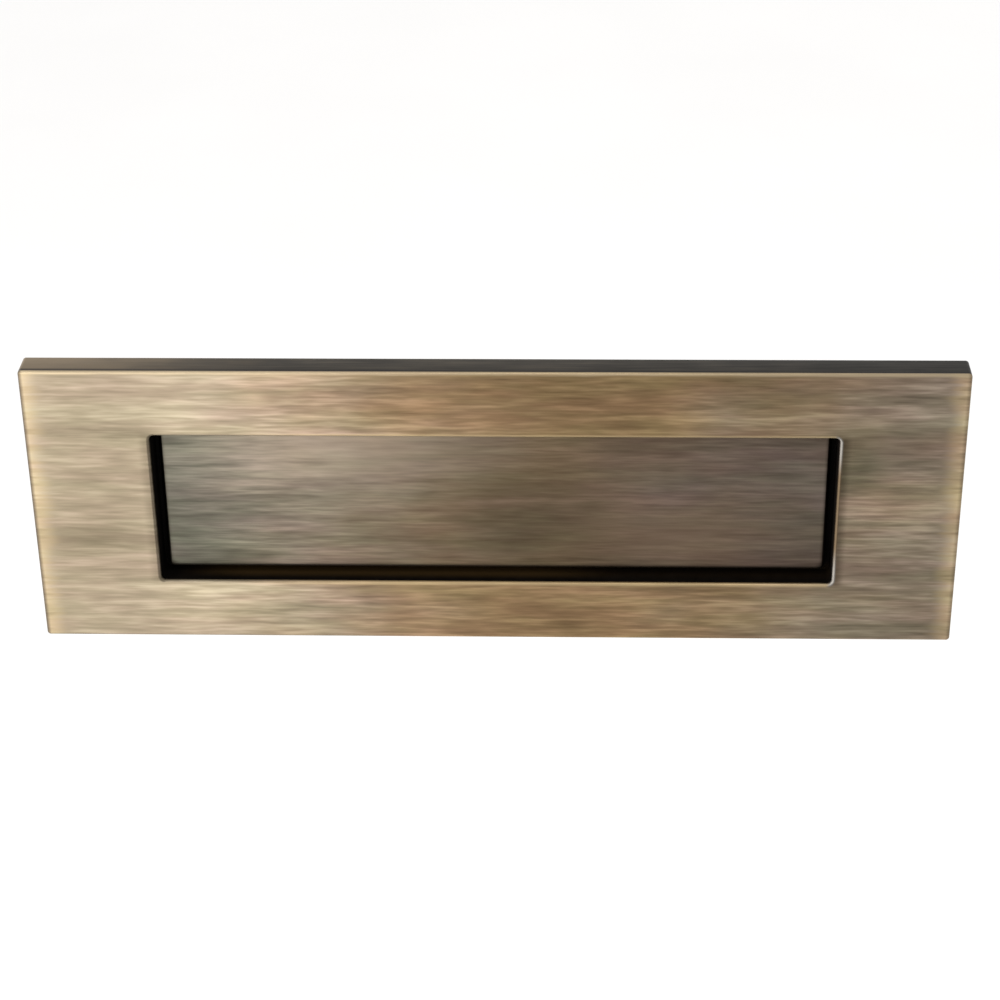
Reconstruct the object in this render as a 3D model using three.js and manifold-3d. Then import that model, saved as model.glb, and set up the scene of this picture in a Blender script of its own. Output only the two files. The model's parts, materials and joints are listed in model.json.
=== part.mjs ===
// Letter plate for a door or wall: a cast antique-brass plate with a sprung, inward-swinging flap.
// Millimetres. +X runs to the right as seen from outside, +Y into the door and +Z up.
// The origin is the middle of the plate's back plane, so the plate's front face is at -plateDepth.
import * as THREE from 'three';
import { mergeVertices } from 'three/addons/utils/BufferGeometryUtils.js';
import Module from 'manifold-3d';

const wasm = await Module();
wasm.setup();

// ---- Driving dimensions ----

const plate = {
  width: 305,
  height: 100,
  depth: 10,
  corner: 1.2,
  arris: 0.8,
  faceThickness: 4,
  wall: 3.5,
};
const opening = {
  width: 223.6,
  height: 54.8,
  centreZ: -0.8,
  corner: 1.6,
  rim: 1.0,
};
const collarWall = 4;
const flap = {
  recess: 5,
  sideGap: 1.9,
  bottomGap: 2.5,
  topGap: 0.5,
  corner: 2,
  edge: 1.6,
  wall: 2.2,
  flangeGap: 0.3,
  flangeThickness: 2,
  flangeOverlap: 3.4,
};
const hinge = {
  y: 7,
  z: 33,
  rodRadius: 2.5,
  knuckleRadius: 5.5,
  lugRadius: 5.5,
  lugThickness: 4.5,
  runningGap: 0.1,
};
const endKnuckle = { middle: 92.5, length: 9 };
const innerKnuckle = { middle: 25, length: 9 };
const bush = { radius: 3.5, flangeRadius: 4.6, flangeThickness: 1 };
const spring = { wireRadius: 0.6, coilRadius: 4, turns: 12, bearingGap: 0.1 };
const clip = { radius: 4.5, innerRadius: 3.1, thickness: 0.8, grooveRadius: 2, mouth: 4.2 };
const buffer = { radius: 1.3, x: 60, thickness: 1.3 };
const stud = {
  x: 137,
  radius: 2.5,
  bossRadius: 5.5,
  bossSetBack: 3,
  holeDepth: 5,
  end: 53,
};
const doorThickness = 44;
const nutAcrossFlats = 8;
const jamNutThickness = 2.7;
const washer = { radius: 5, thickness: 1 };
const springWasher = { radius: 4.6, thickness: 1.2 };
const domeNut = { hexHeight: 4, height: 10, domeRadius: 3.75, threadDepth: 7.5 };

// ---- Places that follow from them ----

const faceBack = -plate.depth + plate.faceThickness;
const openingTop = opening.centreZ + opening.height / 2;
const openingBottom = opening.centreZ - opening.height / 2;
const padFront = -plate.depth + flap.recess;
const padHalfWidth = opening.width / 2 - flap.sideGap;
const padTop = openingTop - flap.topGap;
const padBottom = openingBottom + flap.bottomGap;
const flangeFront = flap.flangeGap;
const flangeBack = flangeFront + flap.flangeThickness;
const flangeHalfWidth = opening.width / 2 + flap.flangeOverlap;
const flangeBottom = openingBottom - flap.flangeOverlap;
const collarOuter = opening.width / 2 + collarWall;
const lugInner = collarOuter + 0.8;
const lugOuter = lugInner + hinge.lugThickness;
const clipInner = lugOuter + 0.3;
const clipOuter = clipInner + clip.thickness;
const rodEnd = clipOuter + 2.3;
const bushOuter = endKnuckle.middle + endKnuckle.length / 2 + 0.2 + bush.flangeThickness;
const springInner = bushOuter + 1.4;
const springOuter = lugInner - 1.5;
const bossFace = -stud.bossSetBack;
const washerBack = doorThickness + washer.thickness;
const springWasherBack = washerBack + springWasher.thickness;

// ---- Solids ----

const roundSegments = 20;

// Turns a closed geometry into a solid with its faces outwards.
function solidOf(geometry) {
  const bare = geometry.clone();
  for (const name of Object.keys(bare.attributes)) {
    if (name !== 'position') {
      bare.deleteAttribute(name);
    }
  }
  const merged = mergeVertices(bare, 1e-4);
  const triangles = Uint32Array.from(merged.index.array);
  const points = Float32Array.from(merged.attributes.position.array);
  const make = () => {
    const mesh = new wasm.Mesh({ numProp: 3, vertProperties: points, triVerts: triangles });
    return new wasm.Manifold(mesh);
  };
  const first = make();
  if (first.volume() > 0) {
    return first;
  }
  triangles.reverse();
  return make();
}

function union(...solids) {
  return solids.reduce((all, next) => all.add(next));
}

// A box given by its low and high corners.
function box(low, high) {
  const geometry = new THREE.BoxGeometry(high[0] - low[0], high[1] - low[1], high[2] - low[2]);
  geometry.translate((low[0] + high[0]) / 2, (low[1] + high[1]) / 2, (low[2] + high[2]) / 2);
  return solidOf(geometry);
}

// A solid of revolution about a line along Y through (x, z); profile points are [radius, y].
function turnedAlongY(profile, x, z, segments = roundSegments) {
  const geometry = new THREE.LatheGeometry(profile.map(([r, y]) => new THREE.Vector2(r, y)), segments);
  geometry.translate(x, 0, z);
  return solidOf(geometry);
}

// A solid of revolution about a line along X through (y, z); profile points are [radius, x].
function turnedAlongX(profile, y = hinge.y, z = hinge.z, segments = roundSegments) {
  const geometry = new THREE.LatheGeometry(profile.map(([r, x]) => new THREE.Vector2(r, x)), segments);
  geometry.rotateZ(-Math.PI / 2);
  geometry.translate(0, y, z);
  return solidOf(geometry);
}

function rodAlongY(radius, x, z, low, high) {
  return turnedAlongY([[0, low], [radius, low], [radius, high], [0, high]], x, z);
}

function rodAlongX(radius, low, high) {
  return turnedAlongX([[0, low], [radius, low], [radius, high], [0, high]]);
}

// A shape drawn in the YZ plane and extruded along X from low to high.
function extrudedAlongX(shape, low, high) {
  const settings = { depth: high - low, bevelEnabled: false, curveSegments: 12 };
  const geometry = new THREE.ExtrudeGeometry(shape, settings);
  const toWorld = new THREE.Matrix4().makeBasis(
    new THREE.Vector3(0, 1, 0),
    new THREE.Vector3(0, 0, 1),
    new THREE.Vector3(1, 0, 0),
  );
  geometry.applyMatrix4(toWorld);
  geometry.translate(low, 0, 0);
  return solidOf(geometry);
}

// The outline of a rounded rectangle in XZ, grown outwards by grow.
function roundedOutline({ halfWidth, low, high, corner }, grow, cornerSegments) {
  const radius = Math.max(corner + grow, 0.05);
  const x = halfWidth + grow - radius;
  const centres = [
    [x, high + grow - radius],
    [-x, high + grow - radius],
    [-x, low - grow + radius],
    [x, low - grow + radius],
  ];
  return centres.flatMap(([cx, cz], quarter) => {
    const points = [];
    for (let i = 0; i <= cornerSegments; i += 1) {
      const angle = (quarter + i / cornerSegments) * Math.PI / 2;
      points.push([cx + radius * Math.cos(angle), cz + radius * Math.sin(angle)]);
    }
    return points;
  });
}

// A closed solid through rounded rectangles stacked along Y; sections are [y, grow].
function stacked(outline, sections, cornerSegments = 4) {
  const rings = sections.map(([y, grow]) => (
    roundedOutline(outline, grow, cornerSegments).map(([x, z]) => [x, y, z])
  ));
  const count = rings[0].length;
  const index = [];
  for (let ring = 0; ring + 1 < rings.length; ring += 1) {
    for (let i = 0; i < count; i += 1) {
      const a = ring * count + i;
      const b = ring * count + (i + 1) % count;
      index.push(a, a + count, b + count, a, b + count, b);
    }
  }
  const last = (rings.length - 1) * count;
  for (let i = 1; i + 1 < count; i += 1) {
    index.push(0, i, i + 1, last, last + i + 1, last + i);
  }
  const geometry = new THREE.BufferGeometry();
  geometry.setAttribute('position', new THREE.Float32BufferAttribute(rings.flat(2), 3));
  geometry.setIndex(index);
  return solidOf(geometry);
}

// Sections of a quarter round of the given radius at the front of a stack.
// grow is 0 behind the round; it falls by the radius at the front, or rises by it where a mouth flares.
function frontRound(front, radius, flare, steps = 3) {
  const sections = [];
  for (let i = 0; i <= steps; i += 1) {
    const angle = i / steps * Math.PI / 2;
    const y = front + radius * (1 - Math.cos(angle));
    const grow = (flare ? 1 : -1) * radius * (1 - Math.sin(angle));
    sections.push([y, grow]);
  }
  return sections;
}

// ---- Materials ----

const agedBrass = { color: 0x8f7d5f, roughness: 0.42, metalness: 0.9 };
const darkAgedBrass = { color: 0x6f6654, roughness: 0.45, metalness: 0.9 };
const zincSteel = { color: 0xb4b7ba, roughness: 0.35, metalness: 0.95 };
const springSteel = { color: 0x7f8489, roughness: 0.3, metalness: 0.95 };
const nylon = { color: 0xe6e2d6, roughness: 0.5, metalness: 0 };
const rubber = { color: 0x1b1b1c, roughness: 0.85, metalness: 0 };

const object = new THREE.Group();

function addPart(name, solid, look) {
  const { vertProperties, triVerts } = solid.getMesh();
  const geometry = new THREE.BufferGeometry();
  geometry.setAttribute('position', new THREE.Float32BufferAttribute(vertProperties, 3));
  geometry.setIndex(Array.from(triVerts));
  geometry.computeVertexNormals();
  const mesh = new THREE.Mesh(geometry, new THREE.MeshStandardMaterial(look));
  mesh.name = name;
  object.add(mesh);
}

// Calls build once for each side, with the side's name and its sign along X.
function bothSides(build) {
  build('left', -1);
  build('right', 1);
}

// ---- Face plate: a hollow-backed casting with a collar, ribs, bosses and two hinge lugs ----

function plateBlank() {
  const outline = {
    halfWidth: plate.width / 2,
    low: -plate.height / 2,
    high: plate.height / 2,
    corner: plate.corner,
  };
  return stacked(outline, [...frontRound(-plate.depth, plate.arris, false), [0, 0]]);
}

const openingOutline = {
  halfWidth: opening.width / 2,
  low: openingBottom,
  high: openingTop,
  corner: opening.corner,
};

function letterOpening() {
  const ahead = [-plate.depth - 1, opening.rim];
  return stacked(openingOutline, [ahead, ...frontRound(-plate.depth, opening.rim, true), [1, 0]]);
}

// The hollow behind the face, between the rim and the collar.
function backHollow() {
  const inner = {
    halfWidth: plate.width / 2 - plate.wall,
    low: -plate.height / 2 + plate.wall,
    high: plate.height / 2 - plate.wall,
    corner: 1.5,
  };
  const collar = stacked(openingOutline, [[faceBack - 1, collarWall], [2, collarWall]]);
  return stacked(inner, [[faceBack, 0], [1, 0]]).subtract(collar);
}

const rib = { thickness: 2.5, back: -2, sideZ: 17, railX: [-60, 0, 60] };

function plateRibs() {
  const start = faceBack - 0.5;
  const edgeX = plate.width / 2 - 1;
  const edgeZ = plate.height / 2 - 1;
  const half = rib.thickness / 2;
  const ribs = [];
  for (const side of [-1, 1]) {
    const xs = [side * (collarOuter - 1), side * edgeX].sort((a, b) => a - b);
    for (const z of [-rib.sideZ, rib.sideZ]) {
      ribs.push(box([xs[0], start, z - half], [xs[1], rib.back, z + half]));
    }
  }
  for (const x of rib.railX) {
    ribs.push(box([x - half, start, openingTop + 1], [x + half, rib.back, edgeZ]));
    ribs.push(box([x - half, start, -edgeZ], [x + half, rib.back, openingBottom - 1]));
  }
  return ribs;
}

// A lug's outline in YZ: a round eye on the hinge axis with a web back to the face.
function lugShape() {
  const shape = new THREE.Shape();
  shape.moveTo(faceBack - 0.5, hinge.z + hinge.lugRadius);
  shape.lineTo(faceBack - 0.5, hinge.z - hinge.lugRadius);
  shape.lineTo(hinge.y, hinge.z - hinge.lugRadius);
  shape.absarc(hinge.y, hinge.z, hinge.lugRadius, -Math.PI / 2, Math.PI / 2, false);
  return shape;
}

function facePlate() {
  let body = plateBlank().subtract(letterOpening()).subtract(backHollow());
  body = union(body, ...plateRibs());
  for (const side of [-1, 1]) {
    const boss = rodAlongY(stud.bossRadius, side * stud.x, 0, faceBack - 0.5, bossFace);
    const [low, high] = [side * lugInner, side * lugOuter].sort((a, b) => a - b);
    body = union(body, boss, extrudedAlongX(lugShape(), low, high));
    const hole = rodAlongY(stud.radius + 0.05, side * stud.x, 0, bossFace - stud.holeDepth, bossFace + 1);
    body = body.subtract(hole);
  }
  const rodBore = rodAlongX(hinge.rodRadius + hinge.runningGap, -lugOuter - 1, lugOuter + 1);
  return body.subtract(rodBore);
}

// ---- Flap: a dished pad in the opening, a flange that closes on the collar, and knuckles ----

const padOutline = { halfWidth: padHalfWidth, low: padBottom, high: padTop, corner: flap.corner };

function flapPad() {
  return stacked(padOutline, [...frontRound(padFront, flap.edge, false, 4), [flangeFront + 0.5, 0]]);
}

function flapFlange() {
  const outline = {
    halfWidth: flangeHalfWidth,
    low: flangeBottom,
    high: hinge.z - 3.5,
    corner: 2,
  };
  const edge = stacked(outline, [[flangeFront, 0], [flangeBack, 0]]);
  const hingeStrip = box(
    [-bushOuter + 1, flangeFront, hinge.z - 8],
    [bushOuter - 1, flangeBack, hinge.z],
  );
  return edge.add(hingeStrip);
}

function flapHollow() {
  return stacked(padOutline, [[padFront + flap.wall, -flap.wall], [flangeBack + 1, -flap.wall]]);
}

// Two upright ribs in the dish; the springs' legs bear on their backs.
function flapRibs() {
  const half = rib.thickness / 2;
  return [-springInner, springInner].map((x) => (
    box([x - half, padFront + 1, padBottom + 1], [x + half, flangeBack, padTop - 1])
  ));
}

function knuckleShape() {
  const start = 155 * Math.PI / 180;
  const end = -100 * Math.PI / 180;
  const shape = new THREE.Shape();
  shape.moveTo(flangeBack - 0.3, hinge.z - 8.2);
  shape.lineTo(flangeBack - 0.3, hinge.z);
  shape.absarc(hinge.y, hinge.z, hinge.knuckleRadius, start, end, true);
  return shape;
}

function flapBody() {
  let body = union(flapPad(), flapFlange()).subtract(flapHollow());
  body = union(body, ...flapRibs());
  for (const side of [-1, 1]) {
    for (const [knuckle, bore] of [
      [endKnuckle, bush.radius + hinge.runningGap],
      [innerKnuckle, hinge.rodRadius + 0.3],
    ]) {
      const middle = side * knuckle.middle;
      const half = knuckle.length / 2;
      const hole = rodAlongX(bore, middle - half - 1, middle + half + 1);
      body = body.add(extrudedAlongX(knuckleShape(), middle - half, middle + half)).subtract(hole);
    }
    const pocketEnd = bufferFront + buffer.thickness + 0.1;
    const pocket = rodAlongY(buffer.radius + 0.1, side * buffer.x, bufferZ, flangeFront - 1, pocketEnd);
    body = body.subtract(pocket);
  }
  return body;
}

// ---- Hinge rod with a groove near each end ----

function pivotRod() {
  const chamfer = 0.5;
  const r = hinge.rodRadius;
  const half = [
    [clip.grooveRadius, clipInner - 0.05],
    [clip.grooveRadius, clipOuter + 0.05],
    [r, clipOuter + 0.05],
    [r, rodEnd - chamfer],
    [r - chamfer, rodEnd],
    [0, rodEnd],
  ];
  const mirrored = half.map(([radius, x]) => [radius, -x]).reverse();
  return turnedAlongX([...mirrored, [r, -clipInner + 0.05], [r, clipInner - 0.05], ...half]);
}

function flangedBush(side) {
  const inner = hinge.rodRadius + hinge.runningGap;
  const tail = endKnuckle.middle - endKnuckle.length / 2 + 0.2;
  const neck = bushOuter - bush.flangeThickness;
  const profile = [
    [inner, tail],
    [bush.radius, tail],
    [bush.radius, neck],
    [bush.flangeRadius, neck],
    [bush.flangeRadius, bushOuter],
    [inner, bushOuter],
    [inner, tail],
  ];
  return turnedAlongX(profile.map(([radius, x]) => [radius, side * x]));
}

// An open retaining clip with three inner teeth, its mouth facing down.
function retainingClip(side) {
  const [low, high] = [side * clipInner, side * clipOuter].sort((a, b) => a - b);
  let ring = rodAlongX(clip.radius, low, high).subtract(rodAlongX(clip.innerRadius, low - 1, high + 1));
  for (const degrees of [20, 90, 160]) {
    const tooth = box([low, -0.9, clip.grooveRadius + 0.1], [high, 0.9, clip.innerRadius + 0.4]);
    ring = ring.add(tooth.rotate([degrees - 90, 0, 0]).translate([0, hinge.y, hinge.z]));
  }
  const mouth = box(
    [low - 1, hinge.y - clip.mouth / 2, hinge.z - clip.radius - 1],
    [high + 1, hinge.y + clip.mouth / 2, hinge.z - 1],
  );
  return ring.subtract(mouth);
}

// ---- Torsion springs ----

// The wire's centre line: a leg to the plate, the coil about the hinge axis and a leg down the flap's back.
class SpringPath extends THREE.Curve {
  constructor(side) {
    super();
    this.side = side;
    this.arcLengthDivisions = 4000;
    const r = spring.coilRadius;
    const reach = spring.wireRadius + spring.bearingGap;
    const plateTip = [faceBack + reach, hinge.z + 9];
    const towards = Math.atan2(plateTip[1] - hinge.z, plateTip[0] - hinge.y);
    const distance = Math.hypot(plateTip[1] - hinge.z, plateTip[0] - hinge.y);
    this.plateTip = plateTip;
    this.startAngle = towards + Math.acos(r / distance);
    this.endAngle = Math.PI + (spring.turns - 1) * 2 * Math.PI;
    this.flapTipZ = hinge.z - 24;
    this.legOne = Math.sqrt(distance * distance - r * r);
    this.coil = (this.endAngle + 2 * Math.PI - this.startAngle) * r;
    this.legTwo = hinge.z - this.flapTipZ;
    this.total = this.legOne + this.coil + this.legTwo;
  }

  coilPoint(share) {
    const angle = this.startAngle + share * (this.coil / spring.coilRadius);
    const x = springOuter + share * (springInner - springOuter);
    return [
      this.side * x,
      hinge.y + spring.coilRadius * Math.cos(angle),
      hinge.z + spring.coilRadius * Math.sin(angle),
    ];
  }

  getPoint(t, target = new THREE.Vector3()) {
    const travelled = t * this.total;
    if (travelled < this.legOne) {
      const [, y, z] = this.coilPoint(0);
      const share = travelled / this.legOne;
      const [tipY, tipZ] = this.plateTip;
      return target.set(this.side * springOuter, tipY + share * (y - tipY), tipZ + share * (z - tipZ));
    }
    if (travelled < this.legOne + this.coil) {
      return target.set(...this.coilPoint((travelled - this.legOne) / this.coil));
    }
    const [x, y, z] = this.coilPoint(1);
    return target.set(x, y, z - (travelled - this.legOne - this.coil));
  }
}

const springSteps = 130;
const springSides = 6;

function torsionSpring(side) {
  const section = new THREE.Shape();
  section.absarc(0, 0, spring.wireRadius, 0, 2 * Math.PI, false);
  const geometry = new THREE.ExtrudeGeometry(section, {
    steps: springSteps,
    curveSegments: springSides / 2,
    bevelEnabled: false,
    extrudePath: new SpringPath(side),
  });
  return solidOf(geometry);
}

// ---- Fixings: studs screwed into the bosses, with the nuts and washers that clamp a door ----

function fixingStud(side) {
  const chamfer = 0.6;
  const tip = bossFace - stud.holeDepth + 0.3;
  const r = stud.radius;
  const profile = [
    [0, tip],
    [r - chamfer, tip],
    [r, tip + chamfer],
    [r, stud.end - chamfer],
    [r - chamfer, stud.end],
    [0, stud.end],
  ];
  return turnedAlongY(profile, side * stud.x, 0);
}

// A hexagon across the nut's flats, with the corners at its ends taken off by a cone.
function hexagon(x, low, high) {
  const corner = nutAcrossFlats / Math.sqrt(3);
  const prism = turnedAlongY([[0, low], [corner, low], [corner, high], [0, high]], x, 0, 6);
  const flat = nutAcrossFlats / 2;
  const cone = 0.35;
  const taper = [
    [0, low],
    [flat, low],
    [corner, low + cone],
    [corner, high - cone],
    [flat, high],
    [0, high],
  ];
  return prism.intersect(turnedAlongY(taper, x, 0, roundSegments));
}

const threadGap = 0.08;

function jamNut(side) {
  const low = bossFace + 0.02;
  const x = side * stud.x;
  return hexagon(x, low, low + jamNutThickness).subtract(
    rodAlongY(stud.radius + threadGap, x, 0, low - 1, low + jamNutThickness + 1),
  );
}

function ring(x, outer, low, high) {
  const inner = stud.radius + 0.2;
  return turnedAlongY([[inner, low], [outer, low], [outer, high], [inner, high], [inner, low]], x, 0);
}

function splitWasher(side) {
  const x = side * stud.x;
  const split = box([x - 0.5, washerBack - 1, 0], [x + 0.5, springWasherBack + 1, springWasher.radius + 1]);
  return ring(x, springWasher.radius, washerBack + 0.02, springWasherBack).subtract(split);
}

function domeNutSolid(side) {
  const x = side * stud.x;
  const low = springWasherBack + 0.02;
  const shoulder = low + domeNut.hexHeight;
  const top = low + domeNut.height;
  const straight = top - domeNut.domeRadius;
  const profile = [[0, shoulder - 0.5], [domeNut.domeRadius, shoulder - 0.5], [domeNut.domeRadius, straight]];
  const steps = 4;
  for (let i = 1; i < steps; i += 1) {
    const angle = i / steps * Math.PI / 2;
    profile.push([domeNut.domeRadius * Math.cos(angle), straight + domeNut.domeRadius * Math.sin(angle)]);
  }
  profile.push([0, top]);
  const thread = rodAlongY(stud.radius + threadGap, x, 0, low - 1, low + domeNut.threadDepth);
  return hexagon(x, low, shoulder).add(turnedAlongY(profile, x, 0)).subtract(thread);
}

// ---- Buffers: rubber buttons let into the flange's front face ----

const bufferZ = openingBottom - flap.flangeOverlap / 2;
const bufferFront = flangeFront - 0.2;

function flapBuffer(side) {
  return rodAlongY(buffer.radius, side * buffer.x, bufferZ, bufferFront, bufferFront + buffer.thickness);
}

// ---- Assembly ----

addPart('face_plate', facePlate(), agedBrass);
addPart('flap', flapBody(), darkAgedBrass);
addPart('pivot_rod', pivotRod(), zincSteel);
bothSides((name, side) => {
  addPart(`${name}_flap_bush`, flangedBush(side), nylon);
  addPart(`${name}_torsion_spring`, torsionSpring(side), springSteel);
  addPart(`${name}_retaining_clip`, retainingClip(side), springSteel);
  addPart(`${name}_flap_buffer`, flapBuffer(side), rubber);
  addPart(`${name}_fixing_stud`, fixingStud(side), zincSteel);
  addPart(`${name}_jam_nut`, jamNut(side), zincSteel);
  addPart(`${name}_washer`, ring(side * stud.x, washer.radius, doorThickness, washerBack), zincSteel);
  addPart(`${name}_spring_washer`, splitWasher(side), springSteel);
  addPart(`${name}_dome_nut`, domeNutSolid(side), agedBrass);
});

export default object;
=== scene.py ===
import json
import math

import bmesh
import bpy
from mathutils import Matrix, Quaternion, Vector


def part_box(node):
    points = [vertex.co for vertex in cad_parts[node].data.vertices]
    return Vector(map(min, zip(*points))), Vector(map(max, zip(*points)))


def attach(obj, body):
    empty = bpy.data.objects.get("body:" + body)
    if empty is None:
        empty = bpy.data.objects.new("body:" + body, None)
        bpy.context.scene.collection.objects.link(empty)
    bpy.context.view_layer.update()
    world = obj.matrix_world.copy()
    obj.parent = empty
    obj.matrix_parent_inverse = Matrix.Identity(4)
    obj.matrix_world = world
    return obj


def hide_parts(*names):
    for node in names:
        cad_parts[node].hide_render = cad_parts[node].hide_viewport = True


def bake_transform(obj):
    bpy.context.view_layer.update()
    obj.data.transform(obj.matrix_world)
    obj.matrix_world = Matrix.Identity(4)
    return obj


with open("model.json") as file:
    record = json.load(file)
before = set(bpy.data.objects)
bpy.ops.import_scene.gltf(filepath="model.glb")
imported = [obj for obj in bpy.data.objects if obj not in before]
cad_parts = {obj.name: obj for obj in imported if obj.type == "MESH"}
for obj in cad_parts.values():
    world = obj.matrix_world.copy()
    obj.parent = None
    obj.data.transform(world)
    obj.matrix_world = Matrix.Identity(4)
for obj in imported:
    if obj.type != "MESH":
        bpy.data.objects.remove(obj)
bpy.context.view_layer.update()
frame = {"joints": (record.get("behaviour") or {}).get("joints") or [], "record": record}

MM = 0.001

record = frame["record"]
body_of = {node: body for body, nodes in record["behaviour"]["bodies"].items() for node in nodes}
hinge = next(joint for joint in frame["joints"] if joint["name"] == "flap_hinge")
HINGE = Vector(hinge["pos_m"])

# ---- Sizes, from the CAD's boxes and hinge, and from the walls, gaps and fixings that the CAD uses ----

plate_low, plate_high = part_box("face_plate")
flap_low, flap_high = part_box("flap")
PLATE_HALF = plate_high.x
PLATE_TOP = plate_high.z
FRONT = plate_low.y
BACK = 0.0
PLATE_CORNER = 1.2 * MM
ARRIS = 0.8 * MM
FACE_BACK = FRONT + 4 * MM
RIM_WALL = 3.5 * MM
COLLAR_WALL = 4 * MM
HOLLOW_CORNER = 1.5 * MM

FLANGE_OVERLAP = 3.4 * MM
OPENING_HALF = flap_high.x - FLANGE_OVERLAP
OPENING_LOW = flap_low.z + FLANGE_OVERLAP
OPENING_HIGH = HINGE.z - 6.4 * MM
OPENING_MIDDLE = (OPENING_HIGH + OPENING_LOW) / 2
OPENING_REACH = (OPENING_HIGH - OPENING_LOW) / 2
OPENING_CORNER = 1.6 * MM
OPENING_RIM = 1.0 * MM

PAD_FRONT = flap_low.y
PAD_HALF = OPENING_HALF - 1.9 * MM
PAD_LOW = OPENING_LOW + 2.5 * MM
PAD_HIGH = OPENING_HIGH - 0.5 * MM
PAD_EDGE = 1.6 * MM
PAD_CORNER = 2 * MM
PAD_WALL = 2.2 * MM
FLANGE_FRONT = 0.3 * MM
FLANGE_BACK = FLANGE_FRONT + 2 * MM
FLANGE_TOP = HINGE.z - 3.5 * MM
FLANGE_CORNER = 2 * MM

STUD_X = 137 * MM
STUD_RADIUS = 2.5 * MM
STUD_HOLE = STUD_RADIUS + 0.05 * MM
BOSS_FACE = -3 * MM
BOSS_RADIUS = 5.5 * MM
RIB_HALF = 1.25 * MM
PLATE_RIB_X = 60 * MM
SIDE_RIB_Z = 17 * MM

ROD_RADIUS = 2.5 * MM
ROD_GROOVE = 2 * MM
ROD_BORE = 2.6 * MM
BUSH_RADIUS = 3.5 * MM
BUSH_BORE = 3.6 * MM
INNER_BORE = 2.8 * MM
EYE_RADIUS = 5.5 * MM
LUG_INNER = OPENING_HALF + COLLAR_WALL + 0.8 * MM
LUG_OUTER = LUG_INNER + 4.5 * MM
END_KNUCKLE = 92.5 * MM
INNER_KNUCKLE = 25 * MM
KNUCKLE_HALF = 4.5 * MM

SPRING_INNER = 99.6 * MM
SPRING_OUTER = LUG_INNER - 1.5 * MM
WIRE = 0.6 * MM
COIL = 4 * MM
TURNS = 12

NUT_FLAT = 4 * MM
WASHER_HOLE = 2.7 * MM

# ---- Meshes ----


def make_mesh(name, points, faces):
    """A mesh from points and from faces given as point numbers."""
    mesh = bpy.data.meshes.new(name)
    mesh.from_pydata([tuple(point) for point in points], [], faces)
    mesh.validate()
    mesh.update()
    return mesh


def outline(half, low, high, corner, grow=0.0):
    """Points (x, z) round a rectangle with rounded corners, grown outwards by grow."""
    steps, least_radius = 8, 0.05 * MM
    radius = max(corner + grow, least_radius)
    x = half + grow - radius
    centres = [(x, high + grow - radius), (-x, high + grow - radius),
               (-x, low - grow + radius), (x, low - grow + radius)]
    points = []
    for quarter, (cx, cz) in enumerate(centres):
        for step in range(steps + 1):
            angle = (quarter + step / steps) * math.pi / 2
            points.append((cx + radius * math.cos(angle), cz + radius * math.sin(angle)))
    return points


def loft(name, rings, ends="caps"):
    """Joins rings of 3-D points; ends are closed with caps, or the last ring joins the first ("loop")."""
    count = len(rings[0])
    points = [point for ring in rings for point in ring]
    faces = []
    last = len(rings) if ends == "loop" else len(rings) - 1
    for i in range(last):
        a, b = i * count, (i + 1) % len(rings) * count
        for j in range(count):
            k = (j + 1) % count
            faces.append((a + j, b + j, b + k, a + k))
    if ends == "caps":
        end = (len(rings) - 1) * count
        faces.append(tuple(range(count)))
        faces.append(tuple(reversed(range(end, end + count))))
    return make_mesh(name, points, faces)


def ring_at(y, shape, grow=0.0):
    """An outline's points in the plane at y."""
    return [Vector((x, y, z)) for x, z in outline(*shape, grow=grow)]


def quarter_round(front, radius, flare, steps=6):
    """(y, grow) pairs for a rounded front edge, from the front plane back to the side."""
    pairs = []
    for step in range(steps + 1):
        angle = step / steps * math.pi / 2
        grow = radius * (1 - math.sin(angle))
        pairs.append((front + radius * (1 - math.cos(angle)), grow if flare else -grow))
    return pairs


def lathe(name, profile, centre, axis="Y", segments=48):
    """Turns a closed (radius, along) profile about a line through centre along axis."""
    rings = []
    for radius, along in profile:
        ring = []
        for i in range(segments):
            angle = 2 * math.pi * i / segments
            u, v = radius * math.cos(angle), radius * math.sin(angle)
            ring.append(Vector((u, along, v)) if axis == "Y" else Vector((along, u, v)))
        rings.append([point + Vector(centre) for point in ring])
    mesh = loft(name, rings, "loop")
    merge_doubles(mesh)
    return mesh


def merge_doubles(mesh):
    """Joins points that coincide, drops faces and edges of no size and turns all normals outwards."""
    distance = 1e-7
    bm = bmesh.new()
    bm.from_mesh(mesh)
    bmesh.ops.remove_doubles(bm, verts=bm.verts, dist=distance)
    bmesh.ops.dissolve_degenerate(bm, edges=bm.edges, dist=distance)
    bmesh.ops.recalc_face_normals(bm, faces=bm.faces)
    bm.to_mesh(mesh)
    bm.free()


def block(low, high):
    """A box between two opposite corners."""
    corners = [(low[0], low[2]), (high[0], low[2]), (high[0], high[2]), (low[0], high[2])]
    rings = [[Vector((x, y, z)) for x, z in corners] for y in (low[1], high[1])]
    mesh = loft("block", rings)
    merge_doubles(mesh)
    return mesh


def prism_x(name, points, low, high):
    """A (y, z) outline drawn out along X from low to high."""
    mesh = loft(name, [[Vector((x, y, z)) for y, z in points] for x in (low, high)])
    merge_doubles(mesh)
    return mesh


def arc(centre, radius, start, end, steps):
    """Points on an arc, angles in degrees."""
    angles = [math.radians(start + (end - start) * i / steps) for i in range(steps + 1)]
    return [(centre[0] + radius * math.cos(a), centre[1] + radius * math.sin(a)) for a in angles]


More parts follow.
